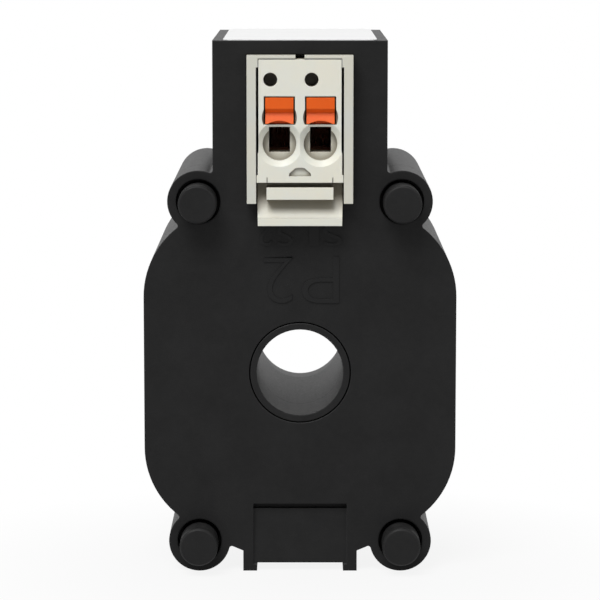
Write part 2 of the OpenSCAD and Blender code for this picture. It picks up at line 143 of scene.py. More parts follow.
class TransformerMarkSettings(bpy.types.PropertyGroup):
    """Sizes of the terminal marks moulded on the front."""
    terminal_height: FloatProperty(
        name="Terminal mark height", description="Height of the small marks under the connector",
        unit="LENGTH", default=1.8 * MM, min=0.5 * MM, max=4 * MM)
    side_height: FloatProperty(
        name="Side mark height", description="Height of the large mark of the primary side",
        unit="LENGTH", default=4.0 * MM, min=1 * MM, max=8 * MM)
    relief: FloatProperty(
        name="Relief", description="Height of the marks over the face",
        unit="LENGTH", default=0.10 * MM, min=0.01 * MM, max=0.3 * MM)


class TransformerConnectorSettings(bpy.types.PropertyGroup):
    """Colours of the pluggable connector."""
    body_colour: FloatVectorProperty(
        name="Connector colour", description="Light grey of the header, plug and lever",
        subtype="COLOR", size=3, min=0, max=1, default=(0.83, 0.82, 0.72))
    # painted shade: the colour and strength to which the connector's plastic is darkened in its
    # hollows, standing in for shade
    painted_shade_colour: FloatVectorProperty(
        name="Painted shade colour", description="Tone of the connector's plastic in its hollows",
        subtype="COLOR", size=3, min=0, max=1, default=(0.20, 0.17, 0.115))
    painted_shade_strength: FloatProperty(
        name="Painted shade strength", description="How far the hollows take that tone",
        default=0.82, min=0, max=1)
    pusher_colour: FloatVectorProperty(
        name="Pusher colour", description="Orange of the release pushers",
        subtype="COLOR", size=3, min=0, max=1, default=(0.88, 0.135, 0.011))
    edge_radius: FloatProperty(
        name="Edge radius", description="Rounding of the connector's edges",
        unit="LENGTH", default=0.08 * MM, min=0, max=0.5 * MM)


class TransformerStageSettings(bpy.types.PropertyGroup):
    """Floor, lamps and camera."""
    floor_colour: FloatVectorProperty(
        name="Floor colour", description="Colour of the plain floor",
        subtype="COLOR", size=3, min=0, max=1, default=(0.60, 0.60, 0.60))
    room_level: FloatProperty(
        name="Room level", description="Strength of the even room light",
        default=0.20, min=0, max=2)
    lens: FloatProperty(
        name="Lens", description="Focal length of the camera on a 36 mm sensor",
        default=171.0, min=20, max=400)
    camera_tilt: FloatProperty(
        name="Camera tilt", description="Angle of the camera's view below the horizontal",
        subtype="ANGLE", unit="ROTATION", default=math.radians(7.43), min=0, max=1.5)


# ---------------------------------------------------------------- small shading helpers

def add_node(tree, kind, place=(0, 0), **values):
    """Adds a node and sets its attributes and unlinked inputs by name."""
    node = tree.nodes.new(kind)
    node.location = place
    for key, value in values.items():
        if hasattr(node, key):
            setattr(node, key, value)
        else:
            node.inputs[key.replace("_", " ")].default_value = value
    return node


def math_node(tree, operation, first, second=None, place=(0, 0)):
    """Adds a Math node fed by sockets or numbers and returns its output."""
    node = tree.nodes.new("ShaderNodeMath")
    node.operation = operation
    node.location = place
    for socket, value in zip(node.inputs, (first, second)):
        if value is None:
            continue
        if isinstance(value, (int, float)):
            socket.default_value = value
        else:
            tree.links.new(value, socket)
    return node.outputs[0]


def blend_colours(tree, factor, first, second, place=(0, 0)):
    """Adds a colour Mix node fed by sockets or colours and returns its output."""
    node = tree.nodes.new("ShaderNodeMix")
    node.data_type = "RGBA"
    node.blend_type = "MIX"
    node.location = place
    for socket, value in ((node.inputs[0], factor), (node.inputs[6], first),
                          (node.inputs[7], second)):
        if isinstance(value, (int, float)):
            socket.default_value = value
        elif isinstance(value, (tuple, list)):
            socket.default_value = (*value[:3], 1.0)
        else:
            tree.links.new(value, socket)
    return node.outputs[2]


def map_range(tree, value, from_low, from_high, to_low, to_high, place=(0, 0)):
    """Adds a clamped Map Range node and returns its output."""
    node = tree.nodes.new("ShaderNodeMapRange")
    node.location = place
    tree.links.new(value, node.inputs["Value"])
    for key, number in (("From Min", from_low), ("From Max", from_high),
                        ("To Min", to_low), ("To Max", to_high)):
        node.inputs[key].default_value = number
    return node.outputs["Result"]


def new_group(name, inputs, outputs):
    """Starts a shader node group with named sockets."""
    group = bpy.data.node_groups.new(name, "ShaderNodeTree")
    for label, kind, default in inputs:
        socket = group.interface.new_socket(name=label, in_out="INPUT", socket_type=kind)
        socket.default_value = default
    for label, kind in outputs:
        group.interface.new_socket(name=label, in_out="OUTPUT", socket_type=kind)
    start = add_node(group, "NodeGroupInput", (-900, 0))
    end = add_node(group, "NodeGroupOutput", (900, 0))
    return group, start, end


def place_group(tree, group, place=(0, 0), **values):
    """Puts a node group in a material with its own values."""
    node = tree.nodes.new("ShaderNodeGroup")
    node.node_tree = group
    node.location = place
    for key, value in values.items():
        node.inputs[key.replace("_", " ")].default_value = value
    return node


def moulded_surface_group():
    """Grain of the mould, slow flow unevenness and rounded edges of a moulded part."""
    if "moulded surface" in bpy.data.node_groups:
        return bpy.data.node_groups["moulded surface"]
    group, start, end = new_group(
        "moulded surface",
        [("Edge Radius", "NodeSocketFloat", 0.1 * MM), ("Grain Size", "NodeSocketFloat", 0.15 * MM),
         ("Grain Depth", "NodeSocketFloat", 0.2), ("Flow Depth", "NodeSocketFloat", 0.1)],
        [("Normal", "NodeSocketVector"), ("Edge", "NodeSocketFloat"),
         ("Grain", "NodeSocketFloat"), ("Flow", "NodeSocketFloat")])
    links = group.links
    coords = add_node(group, "ShaderNodeTexCoord", (-900, 300))
    scale = math_node(group, "DIVIDE", 1.0, start.outputs["Grain Size"], place=(-700, 200))
    grain = add_node(group, "ShaderNodeTexNoise", (-500, 250), Detail=3.0, Roughness=0.62)
    links.new(coords.outputs["Object"], grain.inputs["Vector"])
    links.new(scale, grain.inputs["Scale"])
    flow = add_node(group, "ShaderNodeTexNoise", (-500, 0), Scale=260.0, Detail=2.0,
                    Roughness=0.5, Distortion=0.4)
    links.new(coords.outputs["Object"], flow.inputs["Vector"])
    rounded = add_node(group, "ShaderNodeBevel", (-500, -250), samples=8)
    links.new(start.outputs["Edge Radius"], rounded.inputs["Radius"])
    uneven = add_node(group, "ShaderNodeBump", (-150, -50), Distance=0.05 * MM)
    links.new(start.outputs["Flow Depth"], uneven.inputs["Strength"])
    links.new(flow.outputs["Fac"], uneven.inputs["Height"])
    links.new(rounded.outputs["Normal"], uneven.inputs["Normal"])
    grained = add_node(group, "ShaderNodeBump", (150, 50), Distance=0.02 * MM)
    links.new(start.outputs["Grain Depth"], grained.inputs["Strength"])
    links.new(grain.outputs["Fac"], grained.inputs["Height"])
    links.new(uneven.outputs["Normal"], grained.inputs["Normal"])
    geometry = add_node(group, "ShaderNodeNewGeometry", (-500, -450))
    facing = add_node(group, "ShaderNodeVectorMath", (-250, -400), operation="DOT_PRODUCT")
    links.new(rounded.outputs["Normal"], facing.inputs[0])
    links.new(geometry.outputs["True Normal"], facing.inputs[1])
    edge = map_range(group, facing.outputs["Value"], 0.995, 0.86, 0.0, 1.0, (0, -400))
    links.new(grained.outputs["Normal"], end.inputs["Normal"])
    links.new(edge, end.inputs["Edge"])
    links.new(grain.outputs["Fac"], end.inputs["Grain"])
    links.new(flow.outputs["Fac"], end.inputs["Flow"])
    return group


def settled_dust_group():
    """Faint dust mask: more on faces that look up, broken up by noise."""
    if "settled dust" in bpy.data.node_groups:
        return bpy.data.node_groups["settled dust"]
    group, start, end = new_group(
        "settled dust", [("Amount", "NodeSocketFloat", 0.1), ("Scale", "NodeSocketFloat", 900.0)],
        [("Dust", "NodeSocketFloat")])
    links = group.links
    coords = add_node(group, "ShaderNodeTexCoord", (-700, 200))
    speckle = add_node(group, "ShaderNodeTexNoise", (-450, 200), Detail=4.0, Roughness=0.7)
    links.new(coords.outputs["Object"], speckle.inputs["Vector"])
    links.new(start.outputs["Scale"], speckle.inputs["Scale"])
    geometry = add_node(group, "ShaderNodeNewGeometry", (-700, -100))
    parts = add_node(group, "ShaderNodeSeparateXYZ", (-450, -100))
    links.new(geometry.outputs["Normal"], parts.inputs[0])
    upward = map_range(group, parts.outputs["Z"], 0.2, 1.0, 0.15, 1.0, (-200, -100))
    patches = map_range(group, speckle.outputs["Fac"], 0.42, 0.72, 0.0, 1.0, (-200, 200))
    both = math_node(group, "MULTIPLY", upward, patches, place=(50, 50))
    amount = math_node(group, "MULTIPLY", both, start.outputs["Amount"], place=(250, 50))
    links.new(amount, end.inputs["Dust"])
    return group


def painted_recess_shade_group():
    """Mask of hollows and corners for painted shade, which darkens a moulding's colour where
    ambient occlusion finds the space closed in.
    """
    if "painted recess shade" in bpy.data.node_groups:
        return bpy.data.node_groups["painted recess shade"]
    group, start, end = new_group(
        "painted recess shade",
        [("Reach", "NodeSocketFloat", 3.0 * MM), ("Open", "NodeSocketFloat", 0.85),
         ("Deep", "NodeSocketFloat", 0.2)],
        [("Shade", "NodeSocketFloat")])
    links = group.links
    around = add_node(group, "ShaderNodeAmbientOcclusion", (-400, 0), samples=12)
    links.new(start.outputs["Reach"], around.inputs["Distance"])
    shade = add_node(group, "ShaderNodeMapRange", (0, 0), interpolation_type="SMOOTHSTEP")
    links.new(around.outputs["AO"], shade.inputs["Value"])
    links.new(start.outputs["Open"], shade.inputs["From Min"])
    links.new(start.outputs["Deep"], shade.inputs["From Max"])
    links.new(shade.outputs["Result"], end.inputs["Shade"])
    return group


def drawn_metal_group():
    """Fine lines of drawn or rolled metal along one axis."""
    if "drawn metal" in bpy.data.node_groups:
        return bpy.data.node_groups["drawn metal"]
    group, start, end = new_group(
        "drawn metal", [("Across", "NodeSocketVector", (12000.0, 400.0, 12000.0)),
                        ("Depth", "NodeSocketFloat", 0.2)],
        [("Normal", "NodeSocketVector"), ("Lines", "NodeSocketFloat")])
    links = group.links
    coords = add_node(group, "ShaderNodeTexCoord", (-700, 200))
    stretch = add_node(group, "ShaderNodeVectorMath", (-500, 200), operation="MULTIPLY")
    links.new(coords.outputs["Object"], stretch.inputs[0])
    links.new(start.outputs["Across"], stretch.inputs[1])
    lines = add_node(group, "ShaderNodeTexNoise", (-250, 200), Scale=1.0, Detail=2.0)
    links.new(stretch.outputs[0], lines.inputs["Vector"])
    bump = add_node(group, "ShaderNodeBump", (50, 0), Distance=0.01 * MM)
    links.new(start.outputs["Depth"], bump.inputs["Strength"])
    links.new(lines.outputs["Fac"], bump.inputs["Height"])
    links.new(bump.outputs["Normal"], end.inputs["Normal"])
    links.new(lines.outputs["Fac"], end.inputs["Lines"])
    return group


def start_material(name, preview):
    """New node material: returns it with its tree and its Principled shader."""
    material = bpy.data.materials.new(name)
    material.use_nodes = True
    material.diffuse_color = (*preview[:3], 1.0)
    shader = material.node_tree.nodes["Principled BSDF"]
    shader.location = (600, 0)
    return material, material.node_tree, shader


def finish_nodes(nodes, material):
    """Gives CAD nodes their finished material."""
    for name in nodes:
        mesh = NODES[name].data
        mesh.materials.clear()
        mesh.materials.append(material)


def finish_piece(bm, name, material, body):
    """Turns a bmesh into a finished piece that rides on a CAD body."""
    mesh = bpy.data.meshes.new(name)
    bm.to_mesh(mesh)
    bm.free()
    mesh.materials.append(material)
    piece = bpy.data.objects.new(name, mesh)
    bpy.context.scene.collection.objects.link(piece)
    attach(piece, body)
    return piece


# ---------------------------------------------------------------- materials

def housing_plastic(settings):
    """Black glass-filled plastic with a fine eroded grain and a parting line."""
    material, tree, shader = start_material("black housing plastic", settings.shell_colour)
    links = tree.links
    surface = place_group(tree, moulded_surface_group(), (-600, 0),
                          Edge_Radius=settings.edge_radius, Grain_Size=settings.grain_size,
                          Grain_Depth=0.55, Flow_Depth=0.12)
    dust = place_group(tree, settled_dust_group(), (-600, 350), Amount=0.05, Scale=1500.0)
    base = tuple(settings.shell_colour)
    lighter = tuple(c * 1.18 for c in base)
    darker = tuple(c * 0.88 for c in base)
    flow_mask = map_range(tree, surface.outputs["Flow"], 0.3, 0.7, 0.0, 1.0, (-350, 200))
    body = blend_colours(tree, flow_mask, darker, lighter, place=(-150, 200))
    rubbed_mask = math_node(tree, "MULTIPLY", surface.outputs["Edge"], 0.35, place=(-350, -50))
    rubbed = blend_colours(tree, rubbed_mask, body, (0.045, 0.045, 0.046), place=(50, 150))
    dusty = blend_colours(tree, dust.outputs["Dust"], rubbed, (0.30, 0.29, 0.27), place=(250, 200))
    # groove of the parting line between cover and shell: a bump, and painted shade darkening the
    # colour inside the groove
    coords = add_node(tree, "ShaderNodeTexCoord", (-900, -300))
    parts = add_node(tree, "ShaderNodeSeparateXYZ", (-700, -300))
    links.new(coords.outputs["Object"], parts.inputs[0])
    offset = math_node(tree, "SUBTRACT", parts.outputs["Y"], SEAM_Y, place=(-500, -300))
    distance = math_node(tree, "ABSOLUTE", offset, place=(-350, -300))
    seam = map_range(tree, distance, GROOVE_HALF_WIDTH, GROOVE_EDGE, 0.0, 1.0, (-200, -300))
    seam_painted_shade = blend_colours(tree, seam, (0.002, 0.002, 0.002), dusty, place=(400, 200))
    links.new(seam_painted_shade, shader.inputs["Base Color"])
    groove = add_node(tree, "ShaderNodeBump", (200, -300), Distance=0.08 * MM)
    groove.inputs["Strength"].default_value = 0.8
    links.new(seam, groove.inputs["Height"])
    links.new(surface.outputs["Normal"], groove.inputs["Normal"])
    links.new(groove.outputs["Normal"], shader.inputs["Normal"])
    rough = map_range(tree, surface.outputs["Grain"], 0.3, 0.7, 0.40, 0.52, (200, -50))
    links.new(rough, shader.inputs["Roughness"])
    shader.inputs["Specular IOR Level"].default_value = 0.13
    return material


def mark_plastic(settings):
    """The same plastic, polished in the mould, for the raised marks."""
    material, tree, shader = start_material("polished mark plastic", settings.shell_colour)
    surface = place_group(tree, moulded_surface_group(), (-400, 0), Edge_Radius=0.03 * MM,
                          Grain_Size=0.3 * MM, Grain_Depth=0.08, Flow_Depth=0.1)
    base = tuple(c * 0.88 for c in settings.shell_colour)
    tone = blend_colours(tree, surface.outputs["Flow"], base, tuple(c * 1.5 for c in base),
                         place=(0, 150))
    tree.links.new(tone, shader.inputs["Base Color"])
    tree.links.new(surface.outputs["Normal"], shader.inputs["Normal"])
    shader.inputs["Roughness"].default_value = 0.40
    shader.inputs["Specular IOR Level"].default_value = 0.13
    return material


def label_film(settings):
    """Satin white film with a faint fibre grain."""
    material, tree, shader = start_material("white label film", settings.label_colour)
    surface = place_group(tree, moulded_surface_group(), (-400, 0), Edge_Radius=0.03 * MM,
                          Grain_Size=0.35 * MM, Grain_Depth=0.12, Flow_Depth=0.15)
    base = tuple(settings.label_colour)
    tone = blend_colours(tree, surface.outputs["Flow"], tuple(c * 0.96 for c in base), base,
                         place=(0, 150))
    tree.links.new(tone, shader.inputs["Base Color"])
    tree.links.new(surface.outputs["Normal"], shader.inputs["Normal"])
    shader.inputs["Roughness"].default_value = 0.38
    return material


def connector_plastic(settings, name, tone):
    """Light grey polyamide of header, plug and lever, with painted shade darkening its colour in
    its hollows.
    """
    base = tuple(c * tone for c in settings.body_colour)
    material, tree, shader = start_material(name, base)
    links = tree.links
    surface = place_group(tree, moulded_surface_group(), (-600, 0),
                          Edge_Radius=settings.edge_radius, Grain_Size=0.12 * MM,
                          Grain_Depth=0.12, Flow_Depth=0.12)
    dust = place_group(tree, settled_dust_group(), (-600, 350), Amount=0.05, Scale=2500.0)
    warm = (base[0] * 1.01, base[1] * 0.99, base[2] * 0.96)
    cool = (base[0] * 0.97, base[1] * 0.99, base[2] * 1.02)
    flow_mask = map_range(tree, surface.outputs["Flow"], 0.3, 0.7, 0.0, 1.0, (-350, 200))
    body = blend_colours(tree, flow_mask, warm, cool, place=(-150, 200))
    edge_mask = math_node(tree, "MULTIPLY", surface.outputs["Edge"], 0.25, place=(-350, -50))
    edged = blend_colours(tree, edge_mask, body, (0.80, 0.79, 0.73), place=(50, 150))
    dusty = blend_colours(tree, dust.outputs["Dust"], edged, (0.45, 0.43, 0.38), place=(250, 200))
    # painted shade: where ambient occlusion finds the hollows closed in, the colour darkens towards
    # the painted shade colour
    recess = place_group(tree, painted_recess_shade_group(), (0, 450), Reach=2.8 * MM, Open=0.93, Deep=0.32)
    hollow = math_node(tree, "MULTIPLY", recess.outputs["Shade"], settings.painted_shade_strength,
                       place=(250, 450))
    shaded = blend_colours(tree, hollow, dusty, tuple(settings.painted_shade_colour),
                           place=(450, 200))
    links.new(shaded, shader.inputs["Base Color"])
    links.new(surface.outputs["Normal"], shader.inputs["Normal"])
    rough = map_range(tree, surface.outputs["Grain"], 0.3, 0.7, 0.36, 0.48, (200, -50))
    links.new(rough, shader.inputs["Roughness"])
    shader.inputs["Subsurface Weight"].default_value = 0.12
    shader.inputs["Subsurface Radius"].default_value = (1.0, 0.85, 0.6)
    shader.inputs["Subsurface Scale"].default_value = 0.25 * MM
    return material


def pusher_plastic(settings):
    """Orange polyamide of the release pushers."""
    material, tree, shader = start_material("orange pusher plastic", settings.pusher_colour)
    links = tree.links
    surface = place_group(tree, moulded_surface_group(), (-600, 0), Edge_Radius=0.06 * MM,
                          Grain_Size=0.1 * MM, Grain_Depth=0.15, Flow_Depth=0.12)
    base = tuple(settings.pusher_colour)
    deep = (base[0] * 0.9, base[1] * 0.8, base[2] * 0.8)
    tone = blend_colours(tree, surface.outputs["Flow"], deep, base, place=(-100, 150))
    edge_mask = math_node(tree, "MULTIPLY", surface.outputs["Edge"], 0.3, place=(-350, -50))
    edged = blend_colours(tree, edge_mask, tone, (0.90, 0.22, 0.07), place=(150, 150))
    links.new(edged, shader.inputs["Base Color"])
    links.new(surface.outputs["Normal"], shader.inputs["Normal"])
    rough = map_range(tree, surface.outputs["Grain"], 0.3, 0.7, 0.34, 0.46, (200, -50))
    links.new(rough, shader.inputs["Roughness"])
    shader.inputs["Specular IOR Level"].default_value = 0.22
    shader.inputs["Subsurface Weight"].default_value = 0.1
    shader.inputs["Subsurface Radius"].default_value = (1.0, 0.35, 0.15)
    shader.inputs["Subsurface Scale"].default_value = 0.25 * MM
    return material


def rolled_metal(name, colour, tint, roughness, across, depth=0.25):
    """Rolled or drawn metal with fine lines and a slight tarnish."""
    material, tree, shader = start_material(name, colour)
    links = tree.links
    lines = place_group(tree, drawn_metal_group(), (-500, 0), Across=across, Depth=depth)
    surface = place_group(tree, moulded_surface_group(), (-500, 300), Edge_Radius=0.04 * MM,
                          Grain_Size=0.2 * MM, Grain_Depth=0.05, Flow_Depth=0.1)
    mask = map_range(tree, surface.outputs["Flow"], 0.35, 0.68, 0.0, 1.0, (-250, 300))
    tone = blend_colours(tree, mask, colour, tint, place=(50, 200))
    links.new(tone, shader.inputs["Base Color"])
    links.new(lines.outputs["Normal"], shader.inputs["Normal"])
    rough = map_range(tree, lines.outputs["Lines"], 0.3, 0.7, roughness, roughness + 0.12, (200, 0))
    links.new(rough, shader.inputs["Roughness"])
    shader.inputs["Metallic"].default_value = 1.0
    return material


def core_strip():
    """Wound silicon steel: rings of the strip's edges on the end faces."""
    material, tree, shader = start_material("wound core strip", (0.35, 0.36, 0.38))
    links = tree.links
    coords = add_node(tree, "ShaderNodeTexCoord", (-900, 0))
    flat = add_node(tree, "ShaderNodeVectorMath", (-700, 0), operation="MULTIPLY")
    flat.inputs[1].default_value = (1.0, 0.0, 1.0)
    links.new(coords.outputs["Object"], flat.inputs[0])
    radius = add_node(tree, "ShaderNodeVectorMath", (-500, 0), operation="LENGTH")
    links.new(flat.outputs[0], radius.inputs[0])
    turn = math_node(tree, "MULTIPLY", radius.outputs["Value"], 2 * math.pi / STRIP_PITCH,
                     place=(-350, 0))
    rings = math_node(tree, "SINE", turn, place=(-200, 0))
    mask = map_range(tree, rings, -1.0, 1.0, 0.0, 1.0, (-50, 0))
    tone = blend_colours(tree, mask, (0.20, 0.21, 0.23), (0.46, 0.47, 0.49), place=(150, 150))
    links.new(tone, shader.inputs["Base Color"])
    bump = add_node(tree, "ShaderNodeBump", (200, -200), Distance=0.03 * MM)
    links.new(mask, bump.inputs["Height"])
    links.new(bump.outputs["Normal"], shader.inputs["Normal"])
    shader.inputs["Metallic"].default_value = 1.0
    shader.inputs["Roughness"].default_value = 0.42
    return material


def enamelled_copper():
    """Copper wire with enamel: turns along the coil with painted shade between them, and a clear
    coat.
    """
    material, tree, shader = start_material("enamelled copper wire", (0.55, 0.22, 0.08))
    links = tree.links
    coords = add_node(tree, "ShaderNodeTexCoord", (-900, 0))
    parts = add_node(tree, "ShaderNodeSeparateXYZ", (-700, 0))
    links.new(coords.outputs["Object"], parts.inputs[0])
    angle = math_node(tree, "ARCTAN2", parts.outputs["Z"], parts.outputs["X"], place=(-500, 0))
    turns = math_node(tree, "MULTIPLY", angle, WIRE_LINES, place=(-350, 0))
    wave = math_node(tree, "COSINE", turns, place=(-200, 0))
    mask = map_range(tree, wave, -1.0, 0.4, 0.0, 1.0, (-50, 0))
    surface = place_group(tree, moulded_surface_group(), (-500, 300), Edge_Radius=0.03 * MM,
                          Grain_Size=0.2 * MM, Grain_Depth=0.05, Flow_Depth=0.2)
    wire = blend_colours(tree, surface.outputs["Flow"], (0.50, 0.17, 0.05), (0.66, 0.27, 0.10),
                         place=(50, 250))
    # painted shade: the dark lines between the turns stand for shade in the crevices between wires
    tone = blend_colours(tree, mask, (0.10, 0.03, 0.01), wire, place=(200, 150))
    links.new(tone, shader.inputs["Base Color"])
    bump = add_node(tree, "ShaderNodeBump", (200, -200), Distance=0.06 * MM)
    links.new(mask, bump.inputs["Height"])
    links.new(surface.outputs["Normal"], bump.inputs["Normal"])
    links.new(bump.outputs["Normal"], shader.inputs["Normal"])
    shader.inputs["Metallic"].default_value = 0.9
    shader.inputs["Roughness"].default_value = 0.3
    shader.inputs["Coat Weight"].default_value = 0.6
    shader.inputs["Coat Roughness"].default_value = 0.15
    return material


def dyed_plastic(name, colour, roughness=0.4, grain=0.15 * MM, grain_depth=0.15):
    """Plain dyed plastic or film with mould grain and softly varied colour."""
    material, tree, shader = start_material(name, colour)
    surface = place_group(tree, moulded_surface_group(), (-500, 0), Edge_Radius=0.06 * MM,
                          Grain_Size=grain, Grain_Depth=grain_depth, Flow_Depth=0.15)
    tone = blend_colours(tree, surface.outputs["Flow"], tuple(c * 0.85 for c in colour),
                         tuple(min(1.0, c * 1.1) for c in colour), place=(0, 150))
    tree.links.new(tone, shader.inputs["Base Color"])
    tree.links.new(surface.outputs["Normal"], shader.inputs["Normal"])
    rough = map_range(tree, surface.outputs["Grain"], 0.3, 0.7, roughness - 0.05,
                      roughness + 0.07, (200, -50))
    tree.links.new(rough, shader.inputs["Roughness"])
    return material


# ---------------------------------------------------------------- pieces

class TRANSFORMER_OT_housing(bpy.types.Operator):
    """Finish the front cover, the rear shell and the corner pegs in black plastic"""
    bl_idname = "transformer.housing"
    bl_label = "Housing"

    def execute(self, context):
        material = housing_plastic(context.scene.transformer_housing)
        finish_nodes(["front_cover", "rear_shell", "corner_pegs"], material)
        return {"FINISHED"}


class TRANSFORMER_OT_label(bpy.types.Operator):
    """Lay the blank label with rounded corners on the tower"""
    bl_idname = "transformer.label"
    bl_label = "Blank label"

    def execute(self, context):
        settings = context.scene.transformer_housing
        lowest, highest = low("rating_label"), high("rating_label")
        size = highest - lowest
        middle = (highest + lowest) / 2
        bm = bmesh.new()
        bmesh.ops.create_grid(bm, x_segments=1, y_segments=1, size=0.5)
        bmesh.ops.scale(bm, vec=(size.x, size.y, 1.0), verts=bm.verts)
        bmesh.ops.bevel(bm, geom=bm.verts[:], offset=settings.label_corner,
                        offset_type="OFFSET", affect="VERTICES", segments=6,
                        profile=0.5, material=-1)
        bmesh.ops.translate(bm, vec=(middle.x, middle.y, lowest.z), verts=bm.verts)
        film = bmesh.ops.extrude_face_region(bm, geom=bm.faces[:])
        raised = [v for v in film["geom"] if isinstance(v, bmesh.types.BMVert)]
        bmesh.ops.translate(bm, vec=(0, 0, size.z), verts=raised)
        bmesh.ops.recalc_face_normals(bm, faces=bm.faces[:])
        piece = finish_piece(bm, "blank_label", label_film(settings), "housing")
        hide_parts("rating_label")
        return {"FINISHED"}


class TRANSFORMER_OT_marks(bpy.types.Operator):
    """Raise the generic terminal marks on the front face, standing on their heads"""
    bl_idname = "transformer.marks"
    bl_label = "Terminal marks"

    def execute(self, context):
        settings = context.scene.transformer_marks
        material = mark_plastic(context.scene.transformer_housing)
        small_top = low("locking_lever").z - TERMINAL_MARK_GAP
        large_top = small_top - settings.terminal_height - SIDE_MARK_GAP
        rows = ((TERMINAL_MARKS, small_top, settings.terminal_height, 0.0),
                (SIDE_MARKS, large_top, settings.side_height, SIDE_MARK_THINNING))
        for marks, top, height, thinning in rows:
            for name, glyph, left, right in marks:
                self.raise_mark(name, glyph, left * MM, right * MM, top - height, height,
                                thinning, settings.relief, material)
        return {"FINISHED"}

    def raise_mark(self, name, glyph, left, right, foot, height, thinning, relief, material):
        """One glyph between left and right, on its head, with its lowest edge at foot."""
        curve = bpy.data.curves.new(name, "FONT")
        curve.body = glyph
        curve.size = 1.0
        curve.offset = thinning
        curve.extrude = 0.01
        curve.resolution_u = 6
        carrier = bpy.data.objects.new(name + "_curve", curve)
        bpy.context.scene.collection.objects.link(carrier)
        bpy.context.view_layer.update()
        depsgraph = bpy.context.evaluated_depsgraph_get()
        mesh = bpy.data.meshes.new_from_object(carrier.evaluated_get(depsgraph))
        bpy.data.objects.remove(carrier)
        bpy.data.curves.remove(curve)
        bm = bmesh.new()
        bm.from_mesh(mesh)
        bpy.data.meshes.remove(mesh)
        bmesh.ops.remove_doubles(bm, verts=bm.verts, dist=1e-5)
        xs = [v.co.x for v in bm.verts]
        ys = [v.co.y for v in bm.verts]
        zs = [v.co.z for v in bm.verts]
        centre = Vector(((min(xs) + max(xs)) / 2, (min(ys) + max(ys)) / 2,
                         (min(zs) + max(zs)) / 2))
        bmesh.ops.translate(bm, vec=-centre, verts=bm.verts)
        bmesh.ops.scale(bm, vec=((right - left) / (max(xs) - min(xs)),
                                 height / (max(ys) - min(ys)),
                                 2 * relief / (max(zs) - min(zs))), verts=bm.verts)
        # from lying flat to standing on the front face, turned upside down
        bmesh.ops.rotate(bm, cent=(0, 0, 0), matrix=Matrix.Rotation(math.pi / 2, 3, "X"),
                         verts=bm.verts)
        bmesh.ops.rotate(bm, cent=(0, 0, 0), matrix=Matrix.Rotation(math.pi, 3, "Y"),
                         verts=bm.verts)
        bmesh.ops.translate(bm, vec=((left + right) / 2, FRONT_FACE_Y, foot + height / 2),
                            verts=bm.verts)
        bmesh.ops.recalc_face_normals(bm, faces=bm.faces[:])
        finish_piece(bm, name, material, "housing")


class TRANSFORMER_OT_coil(bpy.types.Operator):
    """Finish the core, its case, the winding and the wrap inside the housing"""
    bl_idname = "transformer.coil"
    bl_label = "Core and winding"

    def execute(self, context):
        finish_nodes(["core"], core_strip())
        finish_nodes(["core_case_front", "core_case_rear"],
                     dyed_plastic("blue core case plastic", (0.05, 0.10, 0.30)))
        finish_nodes(["secondary_winding"], enamelled_copper())
        finish_nodes(["winding_wrap"],
                     dyed_plastic("yellow winding film", (0.75, 0.52, 0.07), 0.25, 0.4 * MM, 0.08))
        return {"FINISHED"}


class TRANSFORMER_OT_leads(bpy.types.Operator):
    """Finish the two leads from the winding to the header pins"""
    bl_idname = "transformer.leads"
    bl_label = "Leads"

    def execute(self, context):
        finish_nodes(["lead_s1"], dyed_plastic("red lead insulation", (0.50, 0.02, 0.015), 0.35))
        finish_nodes(["lead_s2"], dyed_plastic("blue lead insulation", (0.02, 0.06, 0.36), 0.35))
        return {"FINISHED"}


class TRANSFORMER_OT_connector(bpy.types.Operator):
    """Finish the header, the plug, its rear cap and the locking lever"""
    bl_idname = "transformer.connector"
    bl_label = "Connector mouldings"

    def execute(self, context):
        settings = context.scene.transformer_connector
        finish_nodes(["header_housing"],
                     connector_plastic(settings, "light grey header plastic", HEADER_TONE))
        finish_nodes(["plug_body", "plug_rear_cap", "locking_lever"],
                     connector_plastic(settings, "light grey plug plastic", PLUG_TONE))
        return {"FINISHED"}


class TRANSFORMER_OT_pushers(bpy.types.Operator):
    """Finish the two orange release pushers"""
    bl_idname = "transformer.pushers"
    bl_label = "Release pushers"

    def execute(self, context):
        finish_nodes(["pusher_s1", "pusher_s2"],
                     pusher_plastic(context.scene.transformer_connector))
        return {"FINISHED"}


class TRANSFORMER_OT_clamps(bpy.types.Operator):
    """Finish the clamp springs, contacts and header pins in metal"""
    bl_idname = "transformer.clamps"
    bl_label = "Clamps and pins"

    def execute(self, context):
        # the spring steel's warm cast is painted reflection of the orange pushers
        finish_nodes(["clamp_spring_s1", "clamp_spring_s2"],
                     rolled_metal("spring steel strip", (0.56, 0.50, 0.46), (0.46, 0.40, 0.36),
                                  0.24, (15000.0, 900.0, 900.0)))
        finish_nodes(["contact_s1", "contact_s2"],
                     rolled_metal("contact copper", (0.62, 0.30, 0.17), (0.40, 0.17, 0.10),
                                  0.28, (12000.0, 700.0, 12000.0)))
        finish_nodes(["header_pin_s1", "header_pin_s2"],
                     rolled_metal("tinned pin", (0.66, 0.66, 0.65), (0.52, 0.52, 0.52),
                                  0.22, (12000.0, 600.0, 12000.0), 0.15))
        return {"FINISHED"}


